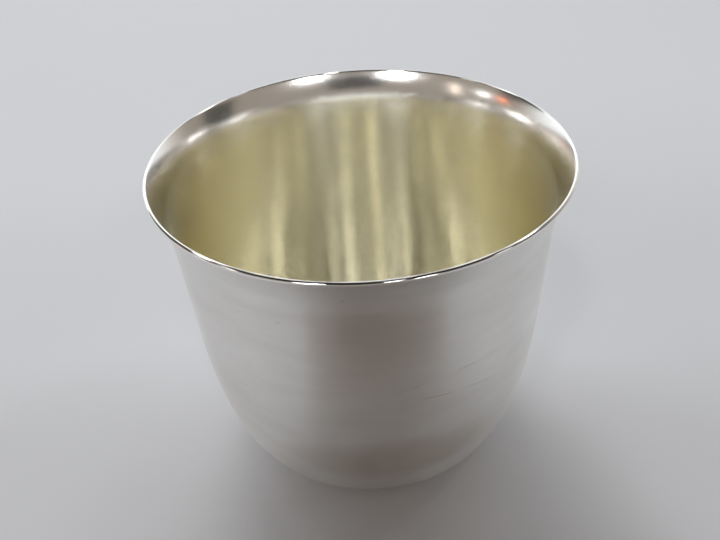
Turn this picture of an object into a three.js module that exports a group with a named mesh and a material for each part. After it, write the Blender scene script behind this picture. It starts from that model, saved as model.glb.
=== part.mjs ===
// A Jefferson cup: a low drinking cup spun from sterling silver sheet and washed with gold inside.
// The silver is one piece: floor, rounded turn, upright side, flare and lip are all the same sheet.
// The gold is a film on the inside of it, from the middle of the floor to halfway up the flare.
// Lengths are in millimetres. The cup stands on Z = 0, its axis is the Z axis and +Z is up.
import * as THREE from "three";

// Driving dimensions of the silver
const cupHeight = 69.85; // table to the top of the lip, 2 3/4 in
const lipDiameter = 82.55; // over the lip, 3 1/4 in
const sheetThickness = 0.75;
const flareOverhang = 2.76; // how far the lip stands out from the foot of the flare
const flareDepth = 15; // how far below the top of the lip the side starts to lean out
const flareLean = THREE.MathUtils.degToRad(30); // of the sheet from upright, at the lip
const sideLean = THREE.MathUtils.degToRad(0.6); // the side leans in by this much towards the floor
const lipRounding = 0.3; // radius on both corners of the sheet's cut edge
const turnHeight = 37.8; // where the straight side starts to turn in towards the floor
const standingDiameter = 54; // outer edge of the flat ring that touches the table
const standingWidth = 4; // of that ring
const floorRise = 0.8; // the middle of the floor is pushed up by this much, clear of the table
const floorRun = 6; // width of the slope between the standing ring and the raised middle
const sideHandleShare = 0.5; // of the turn's height, that the side keeps its direction for
const floorHandleShare = 0.79; // of the turn's width, that the floor keeps its direction for
const footHandleShare = 0.42; // of the flare's run, that its foot keeps the side's direction for
const lipHandleShare = 0.31; // of the flare's run, that the lip's end of it stays straight for

// Driving dimensions of the gold
const gildingThickness = 0.05;
const giltFlareShare = 0.5; // of the flare, that the gold climbs before it stops

// How finely the round shapes are divided
const stepsAround = 72;
const stepsOverTurn = 10;
const stepsOverHalfFlare = 4;
const stepsOverSlope = 3;
const stepsOverRounding = 3; // 30 degrees each, so some lie at the lip's top and widest place

const silver = new THREE.MeshStandardMaterial({ color: 0xd6d3cd, metalness: 1, roughness: 0.26 });
const gilding = new THREE.MeshStandardMaterial({ color: 0xcfc187, metalness: 1, roughness: 0.3 });

// A direction in the profile's plane, the given angle away from upright, outwards.
function leaning(angle) {
  return new THREE.Vector2(Math.sin(angle), Math.cos(angle));
}

// The direction through the sheet, from its outer face to its inner face, where it runs along tangent.
function throughSheet(tangent) {
  return new THREE.Vector2(-tangent.y, tangent.x);
}

// Centres of the two roundings on the sheet's edge, and where the outer face meets the lower one.
function lipPlaces() {
  const through = throughSheet(leaning(flareLean));
  const between = sheetThickness - 2 * lipRounding;
  const outer = new THREE.Vector2(
    lipDiameter / 2 - lipRounding,
    cupHeight - lipRounding - between * through.y,
  );
  const inner = outer.clone().addScaledVector(through, between);
  const flareEnd = outer.clone().addScaledVector(through, -lipRounding);
  return { outer, inner, flareEnd };
}

// The flare's outer face: it leaves the side without a break and leans out more and more, to the lip.
function flareCurve(neck) {
  const { flareEnd } = lipPlaces();
  const run = flareEnd.distanceTo(neck);
  return new THREE.CubicBezierCurve(
    neck,
    neck.clone().addScaledVector(leaning(sideLean), footHandleShare * run),
    flareEnd.clone().addScaledVector(leaning(flareLean), -lipHandleShare * run),
    flareEnd,
  );
}

// The outer face of the sheet in the plane of the axis, from the middle of the floor to the lip, as
// curves that run into each other: X is the distance from the axis and Y is the height. A stretch
// takes the part of its curve between the shares from and to.
function outerFace() {
  const neckRadius = lipDiameter / 2 - flareOverhang;
  const neckHeight = cupHeight - flareDepth;
  const sideRadius = neckRadius - (neckHeight - turnHeight) * Math.tan(sideLean);
  const ringOuter = standingDiameter / 2;
  const ringInner = ringOuter - standingWidth;
  const slopeInner = ringInner - floorRun;

  const middle = new THREE.Vector2(0, floorRise);
  const slopeTop = new THREE.Vector2(slopeInner, floorRise);
  const slopeFoot = new THREE.Vector2(ringInner, 0);
  const ringEdge = new THREE.Vector2(ringOuter, 0);
  const sideFoot = new THREE.Vector2(sideRadius, turnHeight);
  const neck = new THREE.Vector2(neckRadius, neckHeight);

  const slope = new THREE.CubicBezierCurve(
    slopeTop,
    new THREE.Vector2(slopeInner + floorRun / 2, floorRise),
    new THREE.Vector2(ringInner - floorRun / 2, 0),
    slopeFoot,
  );
  const turn = new THREE.CubicBezierCurve(
    ringEdge,
    new THREE.Vector2(ringOuter + floorHandleShare * (sideRadius - ringOuter), 0),
    sideFoot.clone().addScaledVector(leaning(sideLean), -sideHandleShare * turnHeight),
    sideFoot,
  );
  const flare = flareCurve(neck);
  return {
    gilded: [
      { curve: new THREE.LineCurve(middle, slopeTop), steps: 1 },
      { curve: slope, steps: stepsOverSlope },
      { curve: new THREE.LineCurve(slopeFoot, ringEdge), steps: 1 },
      { curve: turn, steps: stepsOverTurn },
      { curve: new THREE.LineCurve(sideFoot, neck), steps: 1 },
      { curve: flare, steps: stepsOverHalfFlare, to: giltFlareShare },
    ],
    bare: [{ curve: flare, steps: stepsOverHalfFlare, from: giltFlareShare }],
  };
}

// Points along the stretches, each moved into the sheet by depth. Where two stretches meet, the
// point is taken once.
function pointsAt(stretches, depth) {
  const points = [];
  stretches.forEach(({ curve, steps, from = 0, to = 1 }, order) => {
    for (let step = order ? 1 : 0; step <= steps; step++) {
      const along = THREE.MathUtils.lerp(from, to, step / steps);
      const through = throughSheet(curve.getTangent(along));
      points.push(curve.getPoint(along).addScaledVector(through, depth));
    }
  });
  return points;
}

// Points round one corner of the sheet's edge, from one direction to another.
function cornerPoints(centre, from, to) {
  const points = [];
  for (let step = 0; step <= stepsOverRounding; step++) {
    const angle = THREE.MathUtils.lerp(from, to, step / stepsOverRounding);
    points.push(centre.clone().addScaledVector(leaning(angle), lipRounding));
  }
  return points;
}

// The sheet's rounded edge, from its outer face to its inner face.
function lipPoints() {
  const { outer, inner } = lipPlaces();
  const outwards = flareLean + Math.PI / 2;
  const inwards = flareLean - Math.PI / 2;
  return [...cornerPoints(outer, outwards, flareLean), ...cornerPoints(inner, flareLean, inwards)];
}

// A closed solid turned about the Z axis from a profile that starts and ends on it.
function turned(name, profile, material) {
  const onAxis = profile.map((point) => new THREE.Vector2(Math.max(point.x, 0), point.y));
  const geometry = new THREE.LatheGeometry(onAxis, stepsAround);
  geometry.rotateX(Math.PI / 2);
  const mesh = new THREE.Mesh(geometry, material);
  mesh.name = name;
  return mesh;
}

// The spun shell: up the outer face, over the lip and down the inner face.
function silverShell() {
  const { gilded, bare } = outerFace();
  const outside = pointsAt([...gilded, ...bare], 0);
  const inside = pointsAt([...gilded, ...bare], sheetThickness);
  outside.pop(); // the lip starts with this point
  inside.pop(); // and ends with this one
  return turned("silver_shell", [...outside, ...lipPoints(), ...inside.reverse()], silver);
}

// The gold: it shares the silver's inner face and stops partway up the flare.
function giltLining() {
  const { gilded } = outerFace();
  const onSilver = pointsAt(gilded, sheetThickness);
  const surface = pointsAt(gilded, sheetThickness + gildingThickness);
  return turned("gilt_lining", [...onSilver, ...surface.reverse()], gilding);
}

const cup = new THREE.Group();
cup.add(silverShell(), giltLining());

export default cup;
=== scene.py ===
# %% [markdown]
# # A Jefferson cup, dressed for its picture
#
# The cup is a low silver beaker, spun from one disc of sheet, with a wash of gold inside. The CAD
# model has its true shape in flat facets. This script gives it smooth skins and real finishes.
# It begins with the frame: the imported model, in metres, standing on Z = 0 with its axis on Z.

# %% Load the frame
from math import cos, pi, radians, sin, tan

import bpy
from mathutils import Matrix, Vector


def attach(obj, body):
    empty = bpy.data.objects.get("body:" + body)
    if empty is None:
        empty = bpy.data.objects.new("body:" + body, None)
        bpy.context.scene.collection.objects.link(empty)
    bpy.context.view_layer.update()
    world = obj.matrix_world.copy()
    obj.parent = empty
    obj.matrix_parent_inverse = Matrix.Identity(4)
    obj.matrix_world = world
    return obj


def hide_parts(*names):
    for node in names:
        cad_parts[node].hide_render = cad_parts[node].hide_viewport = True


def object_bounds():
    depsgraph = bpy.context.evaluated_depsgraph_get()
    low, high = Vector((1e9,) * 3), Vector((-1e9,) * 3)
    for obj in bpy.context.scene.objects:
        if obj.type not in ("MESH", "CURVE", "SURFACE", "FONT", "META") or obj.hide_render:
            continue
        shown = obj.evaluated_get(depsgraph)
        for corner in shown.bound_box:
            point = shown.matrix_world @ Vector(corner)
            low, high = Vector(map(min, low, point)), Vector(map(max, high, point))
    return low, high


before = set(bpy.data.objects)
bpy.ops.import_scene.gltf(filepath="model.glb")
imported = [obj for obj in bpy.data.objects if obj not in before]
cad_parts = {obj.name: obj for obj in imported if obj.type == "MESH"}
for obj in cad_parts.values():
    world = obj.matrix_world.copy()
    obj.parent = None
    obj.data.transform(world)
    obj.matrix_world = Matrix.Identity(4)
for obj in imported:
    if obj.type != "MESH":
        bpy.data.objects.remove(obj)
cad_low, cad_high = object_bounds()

MM = 0.001
SHELL = "silver_shell"
LINING = "gilt_lining"
print("CAD box, mm:", [round(v / MM, 2) for v in (*cad_low, *cad_high)])

# %% [markdown]
# ## The camera
#
# The photograph looks down into the cup from close by, with a wide lens, a little tilted. The
# pose was found by fitting the ellipse of the lip, and then the outline, to a cup of this size.
# A camera could be aimed with a Track To constraint. A matrix from three directions is used
# instead, because a tilt about the view is then one more angle, and the numbers can be read.

# %% Place the camera
IMAGE_WIDTH_PX = 720
FOCAL_LENGTH_PX = 620
SENSOR_WIDTH = 36.0
CAMERA_BEHIND_AXIS = 109.4 * MM
CAMERA_OVER_LIP = 57.0 * MM
NEAREST_SEEN = 5 * MM
FARTHEST_SEEN = 20
LOOKS_DOWN = radians(38.63)
LOOKS_RIGHT = radians(-0.66)
TILT = radians(-3.87)
GLOSSY_BOUNCES = 12  # light bounces many times inside the cup


def aimed(place, down, right, tilt):
    """A camera's matrix at a place, from the angles that it looks down, right and is tilted by."""
    look = Vector((sin(right) * cos(down), cos(right) * cos(down), -sin(down)))
    level = Vector((cos(right), -sin(right), 0))
    over = level.cross(look)
    across = level * cos(tilt) + over * sin(tilt)
    upward = over * cos(tilt) - level * sin(tilt)
    turn = Matrix((across, upward, -look)).transposed().to_4x4()
    return Matrix.Translation(place) @ turn


camera = bpy.data.objects.new("camera", bpy.data.cameras.new("camera"))
bpy.context.scene.collection.objects.link(camera)
bpy.context.scene.camera = camera
bpy.context.scene.view_settings.view_transform = "Standard"
bpy.context.scene.cycles.glossy_bounces = GLOSSY_BOUNCES
camera.data.sensor_width = SENSOR_WIDTH
camera.data.lens = FOCAL_LENGTH_PX / IMAGE_WIDTH_PX * SENSOR_WIDTH
camera.data.clip_start = NEAREST_SEEN
camera.data.clip_end = FARTHEST_SEEN
camera_place = Vector((0, -CAMERA_BEHIND_AXIS, cad_high.z + CAMERA_OVER_LIP))
camera.matrix_world = aimed(camera_place, LOOKS_DOWN, LOOKS_RIGHT, TILT)
print("lens, mm:", round(camera.data.lens, 2))
print("camera at, mm:", [round(v / MM, 1) for v in camera_place])

# %% [markdown]
# ## The profile of the sheet
#
# A spinner works the disc over a wooden chuck, so the whole cup is one profile turned about the
# axis. It could be drawn point by point. Here it is worked out from the sizes that a maker would
# state, as stretches that run into each other: straight lines and cubic curves. Each stretch
# gives a point and the direction that it runs in, so the inside of the sheet and the gold are the
# same stretches moved over by a thickness. A handle share says how long a curve keeps the
# direction that it starts or ends with.

# %% Sizes of the cup
CUP_HEIGHT = cad_high.z - cad_low.z
LIP_RADIUS = (cad_high.x - cad_low.x) / 2
SHEET = 0.75 * MM
FLARE_OVERHANG = 2.76 * MM
FLARE_DEPTH = 15 * MM
FLARE_LEAN = radians(30)
SIDE_LEAN = radians(0.6)
LIP_ROUNDING = 0.3 * MM
TURN_HEIGHT = 37.8 * MM
STANDING_RADIUS = 27 * MM
STANDING_WIDTH = 4 * MM
FLOOR_RISE = 0.8 * MM
FLOOR_RUN = 6 * MM
SIDE_HANDLE_SHARE = 0.5
FLOOR_HANDLE_SHARE = 0.79
FOOT_HANDLE_SHARE = 0.42
LIP_HANDLE_SHARE = 0.31
GILT_FLARE_SHARE = 0.5
print("cup, mm:", round(2 * LIP_RADIUS / MM, 2), "across and", round(CUP_HEIGHT / MM, 2), "tall")


# %% Stretches of a profile
def leaning(angle):
    """A direction in the profile's plane, the given angle away from upright, outwards."""
    return Vector((sin(angle), cos(angle)))


def through_sheet(heading):
    """The direction from the outer face of the sheet to its inner face."""
    return Vector((-heading.y, heading.x))


def straight(start, end):
    """A stretch from start to end. Given a share of its run, it gives a point and a direction."""
    return lambda t: (start.lerp(end, t), (end - start).normalized())


def curved(a, b, c, d):
    """A cubic curve from a to d that leaves towards b and arrives from c."""

    def at(t):
        s = 1 - t
        point = a * s**3 + b * 3 * s * s * t + c * 3 * s * t * t + d * t**3
        heading = (b - a) * s * s + (c - b) * 2 * s * t + (d - c) * t * t
        return point, heading.normalized()

    return at


def part_of(stretch, start, end):
    """The part of a stretch between two shares of its run."""
    return lambda t: stretch(start + (end - start) * t)


# %% The outer face of the sheet
lip_through = through_sheet(leaning(FLARE_LEAN))
corner_gap = SHEET - 2 * LIP_ROUNDING
corner_height = CUP_HEIGHT - LIP_ROUNDING - corner_gap * lip_through.y
outer_corner = Vector((LIP_RADIUS - LIP_ROUNDING, corner_height))
inner_corner = outer_corner + corner_gap * lip_through
flare_end = outer_corner - LIP_ROUNDING * lip_through

neck_radius = LIP_RADIUS - FLARE_OVERHANG
neck_height = CUP_HEIGHT - FLARE_DEPTH
side_radius = neck_radius - (neck_height - TURN_HEIGHT) * tan(SIDE_LEAN)
ring_inner = STANDING_RADIUS - STANDING_WIDTH
slope_inner = ring_inner - FLOOR_RUN
side_foot = Vector((side_radius, TURN_HEIGHT))
neck = Vector((neck_radius, neck_height))
flare_run = (flare_end - neck).length

floor_middle = straight(Vector((0, FLOOR_RISE)), Vector((slope_inner, FLOOR_RISE)))
floor_slope = curved(
    Vector((slope_inner, FLOOR_RISE)),
    Vector((slope_inner + FLOOR_RUN / 2, FLOOR_RISE)),
    Vector((ring_inner - FLOOR_RUN / 2, 0)),
    Vector((ring_inner, 0)),
)
standing_ring = straight(Vector((ring_inner, 0)), Vector((STANDING_RADIUS, 0)))
turn = curved(
    Vector((STANDING_RADIUS, 0)),
    Vector((STANDING_RADIUS + FLOOR_HANDLE_SHARE * (side_radius - STANDING_RADIUS), 0)),
    side_foot - SIDE_HANDLE_SHARE * TURN_HEIGHT * leaning(SIDE_LEAN),
    side_foot,
)
side = straight(side_foot, neck)
flare = curved(
    neck,
    neck + FOOT_HANDLE_SHARE * flare_run * leaning(SIDE_LEAN),
    flare_end - LIP_HANDLE_SHARE * flare_run * leaning(FLARE_LEAN),
    flare_end,
)
gilt_top = flare(GILT_FLARE_SHARE)[0]
print("foot of the flare, mm:", [round(v / MM, 2) for v in neck])
print("top of the gold, mm:", [round(v / MM, 2) for v in gilt_top])

# %% [markdown]
# ## Points along the profile
#
# A curve on the screen is a chain of short straight steps. Too few show as corners in the
# reflections, which are far less forgiving than the outline, so the turn and the flare get many.
# The edge of the sheet is cut square and its two corners are rounded with a stone. Each of them
# is a quarter of a circle here. A Bevel modifier could round them, but it wouldn't tell the
# material which points belong to the lip.

# %% Walk the profile
STEPS_AROUND = 288
GILDED_STRETCHES = (
    (floor_middle, 16),
    (floor_slope, 12),
    (standing_ring, 4),
    (turn, 56),
    (side, 16),
    (part_of(flare, 0, GILT_FLARE_SHARE), 20),
)
BARE_STRETCHES = ((part_of(flare, GILT_FLARE_SHARE, 1), 24),)
STEPS_OVER_ROUNDING = 9


def walk(stretches, depth):
    """Points along the stretches, moved into the sheet by depth, with each joint taken once."""
    points = []
    for order, (stretch, steps) in enumerate(stretches):
        for step in range(1 if order else 0, steps + 1):
            point, heading = stretch(step / steps)
            points.append(point + depth * through_sheet(heading))
    return points


def rounded(centre, start, end):
    """Points round one corner of the sheet's edge, between two directions."""
    steps = range(STEPS_OVER_ROUNDING + 1)
    angles = [start + (end - start) * step / STEPS_OVER_ROUNDING for step in steps]
    return [centre + LIP_ROUNDING * leaning(angle) for angle in angles]


outside = walk((*GILDED_STRETCHES, *BARE_STRETCHES), 0)
inside = walk((*GILDED_STRETCHES, *BARE_STRETCHES), SHEET)[::-1]
outwards = FLARE_LEAN + pi / 2
inwards = FLARE_LEAN - pi / 2
lip = rounded(outer_corner, outwards, FLARE_LEAN) + rounded(inner_corner, FLARE_LEAN, inwards)
print("profile points:", len(outside), "out,", len(lip), "over the lip,", len(inside), "in")

# %% [markdown]
# ## Turning a profile into a mesh
#
# Blender's Screw modifier would turn a profile, but the mesh is built directly here, so that each
# point can also carry how it is finished. Polish goes from 0, satin, to 1, mirror. Gold goes from
# 0, bare, to 1, gilt. Outside is 1 on the outer face alone, and lip on the rounded edge alone. The
# material reads all four.

# %% Turn a profile about the axis
ON_AXIS = MM / 100  # a point nearer to the axis than this is on it
SHARP_ANGLE = radians(40)


def turned(name, profile, finishes):
    """A smooth closed mesh turned about Z, with the finishes of each profile point."""
    vertices = []
    rings = []
    values = {key: [] for key in finishes}
    for order, point in enumerate(profile):
        around = 1 if point.x < ON_AXIS else STEPS_AROUND
        rings.append([len(vertices) + k for k in range(around)])
        for k in range(around):
            angle = 2 * pi * k / STEPS_AROUND
            reach = 0 if around == 1 else point.x
            vertices.append((reach * cos(angle), reach * sin(angle), point.y))
        for key, share in finishes.items():
            values[key] += [share[order]] * around
    faces = []
    for low, high in zip(rings, rings[1:]):
        for k in range(STEPS_AROUND):
            after = (k + 1) % STEPS_AROUND
            if len(low) == 1:
                faces.append((low[0], high[after], high[k]))
            elif len(high) == 1:
                faces.append((low[k], low[after], high[0]))
            else:
                faces.append((low[k], low[after], high[after], high[k]))
    mesh = bpy.data.meshes.new(name)
    mesh.from_pydata(vertices, [], faces)
    mesh.shade_smooth()
    mesh.set_sharp_from_angle(angle=SHARP_ANGLE)
    for key, share in values.items():
        mesh.attributes.new(key, "FLOAT", "POINT").data.foreach_set("value", share)
    mesh.validate()
    made = bpy.data.objects.new(name, mesh)
    bpy.context.scene.collection.objects.link(made)
    print(name, "faces:", len(mesh.polygons))
    return made


# %% [markdown]
# ## The silver cup
#
# Floor, turn, side, flare and lip are one sheet on the real cup, so they are one mesh: up the
# outer face, over the lip and down the inner face. The gold has no sharp edge on the silver. It
# wears off over a few millimetres, and the polish of the flare fades into satin at the same place.


# %% Fades where the gold stops
def smooth_step(value, start, end):
    """0 at the start, 1 at the end and a smooth climb between them."""
    share = min(max((value - start) / (end - start), 0), 1)
    return share * share * (3 - 2 * share)


POLISH_FROM = gilt_top.y - 2.5 * MM
POLISH_FULL = gilt_top.y + 2 * MM
GOLD_FULL = gilt_top.y - 4 * MM
GOLD_GONE = gilt_top.y + 3 * MM


def inner_polish(point):
    """Bright inside the flare, fading to satin where the gold takes over."""
    return smooth_step(point.y, POLISH_FROM, POLISH_FULL)


def inner_gold(point):
    """All gold inside, fading out in the middle of the flare."""
    return 1 - smooth_step(point.y, GOLD_FULL, GOLD_GONE)


print("gold fades between, mm:", round(GOLD_FULL / MM, 2), "and", round(GOLD_GONE / MM, 2))

# %% The silver cup
outer_part, inner_part = outside[:-1], inside[1:]
shell_profile = outer_part + lip + inner_part


def each_point(outer, edge, inner):
    """A value for each point of the shell: one outside, one on the lip, and a list inside."""
    return [outer] * len(outer_part) + [edge] * len(lip) + inner


nowhere_inside = [0.0] * len(inner_part)
shell_finishes = {
    "polish": each_point(0.0, 1.0, [inner_polish(point) for point in inner_part]),
    "gold": each_point(0.0, 0.0, [inner_gold(point) for point in inner_part]),
    "outside": each_point(1.0, 0.0, nowhere_inside),
    "lip": each_point(0.0, 1.0, nowhere_inside),
}
cup = turned("silver_cup", shell_profile, shell_finishes)
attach(cup, "root")
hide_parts(SHELL)

# %% [markdown]
# ## The gold
#
# Gold wash is a film that follows the silver. It could be only a colour on the silver, but it is a
# layer of its own on the real cup, so it is a skin of its own here, from the middle of the floor
# to halfway up the flare. Towards its upper edge it thins to almost nothing.

# %% The gilt lining
GILDING = 0.05 * MM
FEATHER = 3 * MM
THINNEST_SHARE = 0.1  # of the gold's thickness, left at its edge
gilt_under = walk(GILDED_STRETCHES, SHEET)
gilt_over = walk(GILDED_STRETCHES, SHEET + GILDING)


def feathered(under, over):
    """The gold's surface, drawn back onto the silver as it nears its upper edge."""
    left = smooth_step(gilt_top.y - under.y, 0, FEATHER)
    return under.lerp(over, THINNEST_SHARE + (1 - THINNEST_SHARE) * left)


gilt_surface = [feathered(under, over) for under, over in zip(gilt_under, gilt_over)]
gilt_profile = gilt_under + gilt_surface[::-1]
gilt_finishes = {
    "polish": [inner_polish(point) for point in gilt_profile],
    "gold": [inner_gold(point) for point in gilt_profile],
    "outside": [0.0] * len(gilt_profile),
    "lip": [0.0] * len(gilt_profile),
}
gilt = turned("gilt_inside", gilt_profile, gilt_finishes)
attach(gilt, "root")
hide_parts(LINING)

# %% [markdown]
# ## Shader maths that reads as maths
#
# A material's pattern is a sum, and sums are easier to read as Python than as boxes and wires.
# `Wire` holds one output of a node, and its operators add Math nodes. `Finish` is a material, or
# the light of the room, in the making. Its one method `node` adds any node there is.


# %% A wire and a finish
class Wire:
    """A number, a place or a colour on its way through the nodes."""

    def __init__(self, finish, socket):
        self.finish = finish
        self.socket = socket

    def math(self, operation, *others):
        values = dict(enumerate((self, *others)))
        return self.finish.node("ShaderNodeMath", {"operation": operation}, values)["Value"]

    def __add__(self, other):
        return self.math("ADD", other)

    def __sub__(self, other):
        return self.math("SUBTRACT", other)

    def __mul__(self, other):
        return self.math("MULTIPLY", other)

    def __truediv__(self, other):
        return self.math("DIVIDE", other)

    def __rsub__(self, other):
        return (self * -1) + other

    __radd__ = __add__
    __rmul__ = __mul__

    def size(self):
        """The number without its sign."""
        return self.math("ABSOLUTE")


class Finish:
    """The nodes of a material or of a world, and the shader that they feed."""

    def __init__(self, owner, shader="Principled BSDF"):
        owner.use_nodes = True
        self.owner = owner
        self.tree = owner.node_tree
        self.shader = self.tree.nodes[shader]
        self.output = next(node for node in self.tree.nodes if node.type.startswith("OUTPUT"))

    def put(self, node, key, value):
        """Gives a socket its value, or the wire that leads into it."""
        if isinstance(value, Wire):
            self.tree.links.new(value.socket, node.inputs[key])
        else:
            node.inputs[key].default_value = value

    def node(self, kind, settings, sockets):
        """Adds a node. Its settings come first, because some of them change its sockets."""
        made = self.tree.nodes.new(kind)
        for key, value in settings.items():
            setattr(made, key, value)
        for key, value in sockets.items():
            self.put(made, key, value)
        return {output.name: Wire(self, output) for output in made.outputs if output.enabled}

    def surface(self, **sockets):
        """Sets the shader's own sockets: Base_Color is written for Base Color."""
        for key, value in sockets.items():
            self.put(self.shader, key.replace("_", " "), value)

    def blended(self, factor, other):
        """Lets another shader take over where the factor is 1."""
        own = Wire(self, self.shader.outputs[0])
        both = self.node("ShaderNodeMixShader", {}, {0: factor, 1: own, 2: other})["Shader"]
        self.put(self.output, "Surface", both)

    def noise(self, where, scale, detail, roughness=0.5):
        """A cloudy pattern between 0 and 1. The higher its scale, the finer it is."""
        sockets = {"Vector": where, "Scale": scale, "Detail": detail, "Roughness": roughness}
        return self.node("ShaderNodeTexNoise", {}, sockets)["Fac"]

    def between(self, value, low, high):
        """0 below low, 1 above high and a smooth climb between them."""
        settings = {"interpolation_type": "SMOOTHSTEP"}
        sockets = {"Value": value, "From Min": low, "From Max": high}
        return self.node("ShaderNodeMapRange", settings, sockets)["Result"]

    def mixed(self, factor, first, second):
        """A colour that goes from the first to the second as the factor goes from 0 to 1."""
        sockets = {0: factor, 6: first, 7: second}
        return self.node("ShaderNodeMix", {"data_type": "RGBA"}, sockets)["Result"]

    def vector(self, operation, first, second=(0, 0, 0)):
        """Vector Math. What comes out is a vector, or a number for a length or a dot product."""
        sockets = {0: first, 1: second}
        made = self.node("ShaderNodeVectorMath", {"operation": operation}, sockets)
        return made.get("Vector") or made["Value"]


def paint(piece, finish):
    """Puts a finish on all of a piece."""
    piece.data.materials.clear()
    piece.data.materials.append(finish.owner)
    print(piece.name, "nodes:", len(finish.tree.nodes))


# %% [markdown]
# ## Places on a turned piece
#
# Marks on a cup are found by how far round it they are, and how high. `Round` works both out in
# the shader, in metres on the surface, counted from the front or from the back. There is then one
# line of reach and one of height for each mark, and a mark is where both are small.


# %% Round the cup
SCRATCH_FULL_SHARE = 0.2  # of its length, either side of its middle, before it starts to fade


class Round:
    """Distances on the cup's side: along it, from one side of the axis, and up it."""

    def __init__(self, finish, place, front):
        self.finish = finish
        axes = finish.node("ShaderNodeSeparateXYZ", {}, {"Vector": place})
        ahead = axes["Y"] * (-1 if front else 1)
        self.angle = axes["X"].math("ARCTAN2", ahead)
        self.height = axes["Z"]

    def scratch(self, degrees_round, height, length, slope, width):
        """A thin mark, 1 along its middle, that fades towards its sides and its ends."""
        along = (self.angle - radians(degrees_round)) * side_radius
        up = self.height - height
        reach = along + up * slope
        off = up - along * slope
        inside_it = 1 - self.finish.between(reach.size(), length * SCRATCH_FULL_SHARE, length / 2)
        on_line = 1 - self.finish.between(off.size(), 0, width)
        return inside_it * on_line

    def patch(self, degrees_round, height, wide, high):
        """A soft round area, 1 in its middle."""
        along = (self.angle - radians(degrees_round)) * side_radius / wide
        up = (self.height - height) / high
        return 1 - self.finish.between(along * along + up * up, 0, 1)


# %% [markdown]
# ## One material for silver and gold
#
# Silver and gold lie on the same sheet and fade into each other, so one material makes both, and
# each piece gets its own copy. Two materials could meet in an edge, but it would be sharp. The
# material knows where each point is, and reads its four attributes.

# %% What the material knows of a point
CLOUD_SCALE = 55


class Sheet(Finish):
    """The finish of the cup's metal."""

    def __init__(self, name):
        super().__init__(bpy.data.materials.new(name))
        self.place = self.node("ShaderNodeTexCoord", {}, {})["Object"]
        self.polish = self.attribute("polish")
        self.gold = self.attribute("gold")
        self.outside = self.attribute("outside")
        self.lip = self.attribute("lip")
        self.front = Round(self, self.place, True)
        self.back = Round(self, self.place, False)
        self.cloud = self.noise(self.place, CLOUD_SCALE, detail=4, roughness=0.55)

    def attribute(self, name):
        return self.node("ShaderNodeAttribute", {"attribute_name": name}, {})["Fac"]

    def drawn_noise(self, shape, scale, detail, roughness=0.5):
        """Noise that is drawn out along the axes where its shape is small."""
        return self.noise(self.vector("MULTIPLY", self.place, shape), scale, detail, roughness)


# %% [markdown]
# ## Scratches
#
# A cup that is used gets a few scratches and specks. A noise could scatter them, but then they
# would be all over it. Each one has its own place instead: how far round it is, how high, how
# long, and how much it slopes.

# %% Scratches on the front
FRONT_SCRATCHES = (  # degrees round, height and length in millimetres, and slope
    (26.5, 43.6, 6.0, -0.05),
    (18.0, 38.4, 8.5, -0.14),
    (32.0, 37.0, 8.0, -0.22),
    (11.0, 42.5, 1.4, 0.1),
    (24.6, 57.7, 0.9, 1.5),
    (31.5, 25.0, 1.0, 0.6),
    (-5.5, 65.0, 1.2, 0.3),
    (-22.5, 57.9, 1.2, 0.2),
    (-35.0, 44.0, 1.2, 0.4),
    (0.5, 45.6, 1.4, -2.0),
)
SCRATCH_WIDTH = 0.24 * MM


def scratches(sheet):
    """1 along the middle of each scratch on the outer face."""
    marks = []
    for degrees_round, height, length, slope in FRONT_SCRATCHES:
        size = (height * MM, length * MM, slope, SCRATCH_WIDTH)
        marks.append(sheet.front.scratch(degrees_round, *size))
    return sum(marks) * sheet.outside


print("scratches and specks:", len(FRONT_SCRATCHES))

# %% [markdown]
# ## The colour of the silver
#
# Polished sterling reflects nearly all light and is a little warm. The side dulls with use, and
# wiping leaves cloudy marks round it. A band just under the lip is painted lighter: a painted
# highlight for the bright reflection that the outside of the flare shows there. The side is also
# lighter in a broad band round the belly and browner in a patch low on the front. A painted
# image could hold all that. Noises and measured places do it here, so every mark has a size that
# can be changed.

# %% Silver, clean, dull and brown
SILVER_CLEAN = (0.955, 0.945, 0.925, 1)
SILVER_DULL = (0.85, 0.835, 0.805, 1)
SILVER_BROWN = (0.62, 0.54, 0.46, 1)

ROUND_THE_CUP = (0.25, 0.25, 1)  # draws a noise out round the cup
WIPED_SCALE = 260
WIPED_LIMITS = (0.35, 0.7)
NECK_BAND = 62.6 * MM
NECK_REACH = (0.5 * MM, 3 * MM)
BELLY_BAND = 44.5 * MM
BELLY_REACH = (1 * MM, 11 * MM)
# painted highlight: how much lighter the band under the lip is, for the outer flare's reflection
NECK_PAINTED_HIGHLIGHT = 0.6
# how much lighter the side is in a broad band round the belly
BELLY_LIGHTENED = 0.75
DULLED = 0.55
DULLED_BY_WIPING = 0.5

# browner in a patch low on the front
LOW_FRONT_PATCH = (5, 20 * MM, 26 * MM, 9 * MM)  # degrees round, height, half width, half height
LOW_FRONT_BROWN = 0.1
SCRATCHED_BROWN = 0.6


def band(sheet, height, reach):
    """1 round the side at a height, fading to 0 above and below it."""
    return 1 - sheet.between((sheet.front.height - height).size(), *reach)


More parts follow.
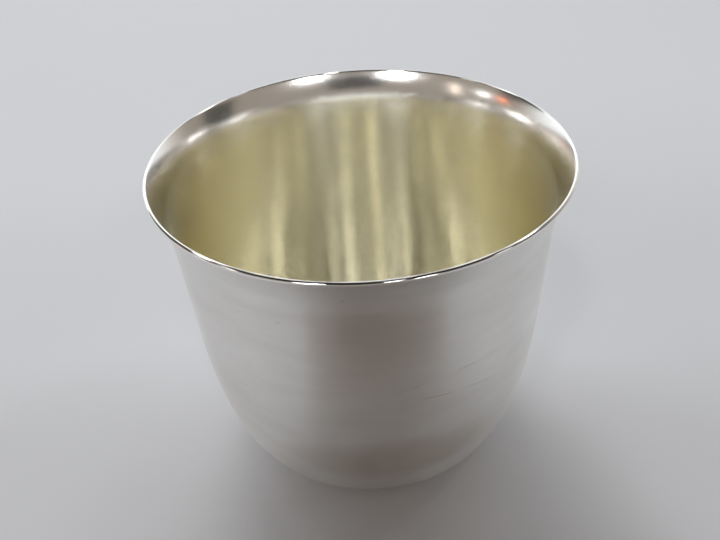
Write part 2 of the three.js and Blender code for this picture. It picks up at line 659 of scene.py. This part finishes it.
def silver_colour(sheet, scratched):
    """Silver, dull outside, with a painted highlight under the lip, lighter belly, brown marks."""
    wiped = sheet.drawn_noise(ROUND_THE_CUP, WIPED_SCALE, detail=4, roughness=0.65)
    # painted highlight: the band under the lip is left less dull, standing in for a reflection
    neck_highlight = band(sheet, NECK_BAND, NECK_REACH) * NECK_PAINTED_HIGHLIGHT
    # lighter in a broad band round the belly
    belly_lightened = band(sheet, BELLY_BAND, BELLY_REACH) * BELLY_LIGHTENED
    dull = (1 - (neck_highlight + belly_lightened)) * DULLED
    dull = dull + sheet.between(wiped, *WIPED_LIMITS) * DULLED_BY_WIPING
    colour = sheet.mixed(dull * sheet.outside, SILVER_CLEAN, SILVER_DULL)
    # a browner patch low on the front
    low_front_patch = sheet.front.patch(*LOW_FRONT_PATCH) * sheet.outside
    brown = low_front_patch * (LOW_FRONT_BROWN + sheet.cloud) + scratched * SCRATCHED_BROWN
    return sheet.mixed(brown, colour, SILVER_BROWN)


# %% [markdown]
# ## The colour of the gold
#
# Gold wash comes in shades from lemon to rose, and this one is a pale lemon. Spoons and cloths
# leave upright streaks in it, and it is greyer in one patch low at the back. The streaks are a
# noise that is drawn out upwards, which needs no image and no UV map.

# %% Gold, clean and dull
GOLD_CLEAN = (0.941, 0.914, 0.786, 1)
GOLD_DULL = (0.888, 0.861, 0.73, 1)
UPRIGHT = (1, 1, 0.05)  # draws a noise out upwards
STREAKS_SCALE = 180
DULLED_BY_STREAKS = 0.5
# greyer in one patch low at the back
LOW_BACK_PATCH = (-11, 31 * MM, 8 * MM, 5 * MM)  # degrees round, height, half width, half height
DULLED_IN_BACK_PATCH = 0.9


def gold_colour(sheet, streaks):
    """Pale gold with upright streaks and a greyer patch."""
    back_patch = sheet.back.patch(*LOW_BACK_PATCH) * sheet.gold
    dull = streaks * DULLED_BY_STREAKS + back_patch * DULLED_IN_BACK_PATCH
    return sheet.mixed(dull, GOLD_CLEAN, GOLD_DULL)


# %% [markdown]
# ## Satin
#
# Roughness decides how soft a reflection is. The side is satin from years of wiping, and softer
# still in cloudy patches. The gold is smoother near the floor, so the lamps' streaks are crisp
# there and fade upwards. The finest lines run round the cup and draw every highlight out upwards.
# Anisotropic does that, with a quarter turn, since its unturned highlight lies along the lines.

# %% Roughness of satin silver and gold
SATIN_ROUGHNESS = 0.232
SATIN_RANGE = 0.03
CLOUD_LIMITS = (0.35, 0.7)
GOLD_ROUGHNESS = 0.205
GOLD_RANGE = 0.012
GOLD_SOFTENING = 0.04
SOFTENING_HEIGHTS = (20 * MM, 60 * MM)
BRUSHING = 1.0
BRUSHING_TURN = 0.25


def satin(sheet, streaks):
    """The roughness of the silver, or of the gold where there is gold."""
    silver = SATIN_ROUGHNESS + sheet.between(sheet.cloud, *CLOUD_LIMITS) * SATIN_RANGE
    softened = sheet.between(sheet.front.height, *SOFTENING_HEIGHTS) * GOLD_SOFTENING
    gold = GOLD_ROUGHNESS + streaks * GOLD_RANGE + softened
    return silver * (1 - sheet.gold) + gold * sheet.gold


# %% [markdown]
# ## Relief
#
# Without relief the satin would look like plastic. Spinning leaves faint rings and slow waves
# that the eye sees only in reflections, and the scratches are cut in. None of it is deep
# enough to model, so a Bump node bends the light instead. The bright flare and the gold have none.

# %% Rings, waves and scratches
RINGS_SHAPE = (0.03, 0.03, 1)
RINGS_SCALE = 2600
RINGS_HEIGHT = 0.12
WAVES_SCALE = 85
WAVES_HEIGHT = 3.0
SCRATCHES_DEPTH = 1.3
RELIEF_UNIT = 0.02 * MM


def relief(sheet, scratched):
    """The direction that the satin silver faces, bent by its rings, waves and scratches."""
    rings = sheet.drawn_noise(RINGS_SHAPE, RINGS_SCALE, detail=2)
    waves = sheet.drawn_noise(ROUND_THE_CUP, WAVES_SCALE, detail=1)
    height = rings * RINGS_HEIGHT + waves * WAVES_HEIGHT - scratched * SCRATCHES_DEPTH
    height = height * (1 - sheet.polish) * (1 - sheet.gold)
    sockets = {"Strength": 1.0, "Distance": RELIEF_UNIT, "Height": height}
    return sheet.node("ShaderNodeBump", {}, sockets)["Normal"]


# %% [markdown]
# ## The bright lip and flare
#
# The lip is buffed to a mirror and the inside of the flare nearly so, with fine pits. Buffing
# leaves no lines, so highlights aren't drawn out there. Less Anisotropic would do it, but that
# number has to be the same all over a surface that is to be exported. So a second shader,
# without brushing, takes over where the polish attribute says so.

# %% Roughness of the buffed parts
FLARE_ROUGHNESS = 0.19
LIP_ROUGHNESS = 0.07
PITS_SCALE = 900
PITS_LIMITS = (0.5, 0.8)
PITTED_RANGE = 0.06


def bright(sheet, colour):
    """A shader for the lip and the flare."""
    pits = sheet.between(sheet.noise(sheet.place, PITS_SCALE, detail=3), *PITS_LIMITS)
    buffed = sheet.lip * (LIP_ROUGHNESS - FLARE_ROUGHNESS) + FLARE_ROUGHNESS
    buffed = buffed + pits * (1 - sheet.lip) * PITTED_RANGE
    sockets = {"Metallic": 1.0, "Base Color": colour, "Roughness": buffed}
    return sheet.node("ShaderNodeBsdfPrincipled", {}, sockets)["BSDF"]


# %% Put the metal on both pieces
def metal(name):
    """Silver that turns into gold where the gold attribute says so."""
    sheet = Sheet(name)
    scratched = scratches(sheet)
    streaks = sheet.drawn_noise(UPRIGHT, STREAKS_SCALE, detail=3)
    silver = silver_colour(sheet, scratched)
    colour = sheet.mixed(sheet.gold, silver, gold_colour(sheet, streaks))
    sheet.surface(
        Metallic=1.0,
        Base_Color=colour,
        Roughness=satin(sheet, streaks),
        Anisotropic=BRUSHING,
        Anisotropic_Rotation=BRUSHING_TURN,
        Normal=relief(sheet, scratched),
    )
    sheet.blended(sheet.polish, bright(sheet, colour))
    return sheet


paint(cup, metal("silver"))
paint(gilt, metal("gilding"))

# %% [markdown]
# ## The table
#
# The cup stands on plain pale paper that goes on to the horizon. Its colour is written here, and
# the lamps are set so that it renders about as written.

# %% Table
TABLE_HALF = 4.0
TABLE_COLOUR = (0.77, 0.79, 0.83, 1)
PAPER_ROUGHNESS = 0.8


def rectangle(half_width, half_height):
    """Four corners round the middle, flat on Z = 0."""
    signs = ((-1, -1), (1, -1), (1, 1), (-1, 1))
    return [(x * half_width, y * half_height, 0) for x, y in signs]


def sheet_of(name, corners, colour, roughness=PAPER_ROUGHNESS):
    """A flat sheet for the stage, which isn't part of the cup, and its finish."""
    mesh = bpy.data.meshes.new(name)
    mesh.from_pydata(corners, [], [tuple(range(len(corners)))])
    made = bpy.data.objects.new(name, mesh)
    bpy.context.scene.collection.objects.link(made)
    finish = Finish(bpy.data.materials.new(name))
    finish.surface(Base_Color=colour, Roughness=roughness)
    paint(made, finish)
    return made, finish


_, paper = sheet_of("table", rectangle(TABLE_HALF, TABLE_HALF), TABLE_COLOUR)

# %% [markdown]
# ## A backdrop without a horizon
#
# In a studio the paper hangs down behind the object and curves into the table, so no horizon
# shows. A curved sheet could be modelled, but it would block the light from behind. Far from the
# cup the flat paper glows in the backdrop's colour instead, for the camera's rays alone.

# %% Let the paper run into the backdrop
BACKDROP_COLOUR = (0.62, 0.63, 0.65, 1)
FADE_START, FADE_END = 0.5, 2.0
spot = paper.node("ShaderNodeTexCoord", {}, {})["Object"]
away = paper.vector("LENGTH", spot)
to_camera = paper.node("ShaderNodeLightPath", {}, {})["Is Camera Ray"]
glow = paper.node("ShaderNodeEmission", {}, {"Color": BACKDROP_COLOUR, "Strength": 1.0})["Emission"]
paper.blended(paper.between(away, FADE_START, FADE_END) * to_camera, glow)
print("paper fades out between, m:", FADE_START, "and", FADE_END)

# %% [markdown]
# ## The room
#
# Polished metal shows its room, so the room makes half of the look. It was read out of the
# photograph: each bright or dark place in the flare was followed, as a mirror's ray, to the
# direction that it comes from. The room is bright behind the cup, dim and warm in front of it and
# dark overhead. A picture of a room could do the same. Four glows in the world's shader do it
# here, and they stay readable. The limits are cosines of the angle away from a direction.


# %% Directions
def towards(azimuth, elevation):
    """A direction: azimuth 0 is straight behind the cup and 90 to its right."""
    a, e = radians(azimuth), radians(elevation)
    return Vector((sin(a) * cos(e), cos(a) * cos(e), sin(e)))


# %% World
BASE_GLOW = 0.03
FRONT_GLOW = 0.275
WALL_GLOW = 0.68
SKY_GLOW = 0.3
OVERHEAD_LIMITS = (0.5, 0.77)
WALL_AIM = (-5, 0)
WALL_LIMITS = (0.25, 0.8)
SKY_AIM = (-15, 45)
SKY_LIMITS = (0.5, 0.95)
SKY_LOST_OVERHEAD = 0.8
STRAIGHT_UP = (0, 90)
WARM_AIR = (1.0, 0.88, 0.76, 1)
COOL_AIR = (0.96, 0.985, 1.0, 1)

world = bpy.data.worlds.new("room")
bpy.context.scene.world = world
air = Finish(world, "Background")
direction = air.node("ShaderNodeTexCoord", {}, {})["Generated"]


def looking(aim, limits):
    """1 where the ray looks this way and 0 well away from it."""
    return air.between(air.vector("DOT_PRODUCT", direction, towards(*aim)), *limits)


overhead = looking(STRAIGHT_UP, OVERHEAD_LIMITS)
wall = looking(WALL_AIM, WALL_LIMITS) * (1 - overhead)
sky = looking(SKY_AIM, SKY_LIMITS) * (1 - overhead * SKY_LOST_OVERHEAD)
air.surface(
    Strength=BASE_GLOW + (1 - overhead) * FRONT_GLOW + wall * WALL_GLOW + sky * SKY_GLOW,
    Color=air.mixed(wall + sky, WARM_AIR, COOL_AIR),
)

# %% What the camera sees of the room
by_camera = air.node("ShaderNodeLightPath", {}, {})["Is Camera Ray"]
backdrop = air.node("ShaderNodeBackground", {}, {"Color": BACKDROP_COLOUR, "Strength": 1.0})
air.blended(by_camera, backdrop["Background"])
print("nodes in the world:", len(air.tree.nodes))

# %% [markdown]
# ## The lamps
#
# Two ceiling lamps behind the camera make the two white spots on the flare. A ring of small ones,
# higher up, draws the upright streaks down the gold: the satin smears each of them upwards. A row
# of small lights stands to the left. They are elliptical Area lamps, because a Point lamp has no
# size and its highlight would be too small. A broad window behind the cup lights the table, so
# that the cup's soft shadow falls forward, and metal doesn't see it.

# %% Lamps
LAMP_FAR = 1.6
WHITE = (1, 1, 1)


def lamp(name, azimuth, elevation, width, height, strength, colour=WHITE):
    """An elliptical lamp, sized in degrees as the cup sees it."""
    wide = 2 * LAMP_FAR * tan(radians(width / 2))
    high = 2 * LAMP_FAR * tan(radians(height / 2))
    data = bpy.data.lights.new(name, "AREA")
    data.shape = "ELLIPSE"
    data.size = wide
    data.size_y = high
    data.color = colour
    data.energy = strength * pi * wide * high
    made = bpy.data.objects.new(name, data)
    bpy.context.scene.collection.objects.link(made)
    aim = towards(azimuth, elevation)
    made.location = aim * LAMP_FAR
    made.rotation_mode = "QUATERNION"
    made.rotation_quaternion = aim.to_track_quat("Z", "Y")
    made.visible_camera = False
    print(name, "watts:", round(data.energy, 3))
    return made


lamp("ceiling lamp right", azimuth=151, elevation=37, width=12, height=8, strength=11)
lamp("ceiling lamp left", azimuth=-152, elevation=35, width=14, height=13, strength=9)

# %% The ring that draws the streaks
STREAK_LAMPS = (  # azimuth, elevation and width in degrees, and strength
    (-149, 53, 7, 17),
    (-98, 45, 9, 2.5),
    (-71, 46, 10, 2.2),
    (-47, 51, 10, 4.5),
    (-21, 55, 10, 2.6),
    (3, 58, 12, 2.4),
    (29, 56, 10, 2.8),
    (46, 51, 10, 2.8),
    (64, 47, 8, 7),
    (98, 45, 9, 2.8),
    (163, 54, 7, 15),
)
STREAK_LAMP_HEIGHT = 7
for azimuth, elevation, width, strength in STREAK_LAMPS:
    lamp(f"streak lamp {azimuth}", azimuth, elevation, width, STREAK_LAMP_HEIGHT, strength)
print("lamps in the ring:", len(STREAK_LAMPS))

# %% Lights to the left, and the window
WARM_WHITE = (1, 0.85, 0.72)
ORANGE = (1, 0.2, 0.04)
lamp("left warm", azimuth=-116, elevation=19, width=5, height=16, strength=1.4, colour=WARM_WHITE)
lamp("left white", azimuth=-97, elevation=18, width=9, height=7, strength=1.6)
lamp("left orange", azimuth=-84, elevation=16, width=5, height=6, strength=1.7, colour=ORANGE)
window = lamp("window", azimuth=-8, elevation=36, width=34, height=16, strength=3.5)
window.visible_glossy = False

# %% [markdown]
# ## What stands over the table
#
# A camera that is held close to a shiny cup shades it and shows in it. A dark block stands for
# the camera's body. Brown cloths, which reflections don't show, stand for what keeps the light off
# the table in front of the cup. The lamps could be dimmed instead, but then the table would be
# as dark behind the cup as in front of it. The camera sees none of these pieces.


# %% Camera body
def hidden(piece, in_reflections):
    """Keeps a piece of the stage from the camera, and from reflections if they shouldn't show it."""
    piece.visible_camera = False
    piece.visible_glossy = in_reflections


def block(name, middle, half, colour, in_reflections):
    """A box in the camera's own directions, in millimetres from the lens: right, up and back."""
    made = bpy.data.objects.new(name, bpy.data.meshes.new(name))
    bpy.context.scene.collection.objects.link(made)
    signs = [(x, y, z) for x in (-1, 1) for y in (-1, 1) for z in (-1, 1)]
    faces = [(0, 1, 3, 2), (4, 6, 7, 5), (0, 4, 5, 1), (2, 3, 7, 6), (0, 2, 6, 4), (1, 5, 7, 3)]
    corners = []
    for corner in signs:
        corners.append([(m + s * h) * MM for m, s, h in zip(middle, corner, half)])
    made.data.from_pydata(corners, [], faces)
    made.matrix_world = camera.matrix_world
    hidden(made, in_reflections)
    finish = Finish(bpy.data.materials.new(name))
    finish.surface(Base_Color=colour, Roughness=PAPER_ROUGHNESS)
    paint(made, finish)


CAMERA_BLACK = (0.07, 0.065, 0.06, 1)
SHADE_BROWN = (0.3, 0.19, 0.12, 1)
block("camera_body", (0, -5, 22), (40, 27, 20), CAMERA_BLACK, in_reflections=True)
block("shade", (0, -30, 24), (76, 50, 18), SHADE_BROWN, in_reflections=False)

# %% Cloths
CLOTH_BROWN = (0.22, 0.13, 0.075, 1)
CLOTH_HEIGHT = 50 * MM
CLOTH_NEAR, CLOTH_NEAR_HALF = -92 * MM, 48 * MM
CLOTH_FAR, CLOTH_FAR_HALF = -190 * MM, 60 * MM
low_cloth = [
    (-CLOTH_NEAR_HALF, CLOTH_NEAR, CLOTH_HEIGHT),
    (CLOTH_NEAR_HALF, CLOTH_NEAR, CLOTH_HEIGHT),
    (CLOTH_FAR_HALF, CLOTH_FAR, CLOTH_HEIGHT),
    (-CLOTH_FAR_HALF, CLOTH_FAR, CLOTH_HEIGHT),
]
hidden(sheet_of("low_cloth", low_cloth, CLOTH_BROWN)[0], in_reflections=False)

TORSO_HALF = 140 * MM
TORSO_BACK = -230 * MM
TORSO_FOOT = 30 * MM
TORSO_TOP = 190 * MM
torso = [
    (-TORSO_HALF, TORSO_BACK, TORSO_FOOT),
    (TORSO_HALF, TORSO_BACK, TORSO_FOOT),
    (TORSO_HALF, TORSO_BACK, TORSO_TOP),
    (-TORSO_HALF, TORSO_BACK, TORSO_TOP),
]
hidden(sheet_of("torso_cloth", torso, CLOTH_BROWN)[0], in_reflections=False)

# %% [markdown]
# ## What only the metal sees
#
# The side of the cup shows what lies in front of it, below the edge of the picture, where the
# table is in shade and brownish. An apron just over the table is that shade, painted dark brown
# for the metal to reflect. Two dark cards give the flare and the lip their dark places. A real
# card would also cast a shadow and be seen from other angles. Ray visibility leaves these pieces
# to reflections alone.


# %% Things that only reflections see
def only_reflected(piece):
    """Leaves a piece to the metal alone: it casts no shadow and no light."""
    piece.visible_camera = False
    piece.visible_diffuse = False
    piece.visible_shadow = False


# %% The apron: painted shade on the table, for reflections
# painted shade: dark brown for the shaded table in front, seen only in reflections
APRON_SHADE_BROWN = (0.345, 0.268, 0.196, 1)
APRON_LEFT, APRON_RIGHT = -52 * MM, 68 * MM
APRON_NEAR, APRON_FAR = -84 * MM, -300 * MM
APRON_HEIGHT = 1 * MM
apron_corners = [
    (APRON_LEFT, APRON_NEAR, APRON_HEIGHT),
    (APRON_LEFT, APRON_FAR, APRON_HEIGHT),
    (APRON_RIGHT, APRON_FAR, APRON_HEIGHT),
    (APRON_RIGHT, APRON_NEAR, APRON_HEIGHT),
]
# the shaded table in front, painted as a dark sheet that only the metal sees
shade_apron, _ = sheet_of("shade_apron", apron_corners, APRON_SHADE_BROWN)
only_reflected(shade_apron)

# %% Dark cards
CARD_FAR = 1.9
CARD_BLACK = (0, 0, 0, 1)
DOOR_DARK = (0.06, 0.06, 0.05, 1)
CORNER_DARK = (0.07, 0.07, 0.06, 1)


def card(name, azimuth, elevation, width, height, tone):
    """A card in the room, behind the lamps, sized in degrees, that glows with its tone."""
    half_width = CARD_FAR * tan(radians(width / 2))
    half_height = CARD_FAR * tan(radians(height / 2))
    made, finish = sheet_of(name, rectangle(half_width, half_height), CARD_BLACK, roughness=1.0)
    finish.surface(Emission_Color=tone, Emission_Strength=1.0)
    aim = towards(azimuth, elevation)
    made.location = aim * CARD_FAR
    made.rotation_mode = "QUATERNION"
    made.rotation_quaternion = aim.to_track_quat("Z", "Y")
    only_reflected(made)


card("dark_door", azimuth=90, elevation=17, width=20, height=24, tone=DOOR_DARK)
card("dark_corner", azimuth=-68, elevation=31, width=30, height=26, tone=CORNER_DARK)
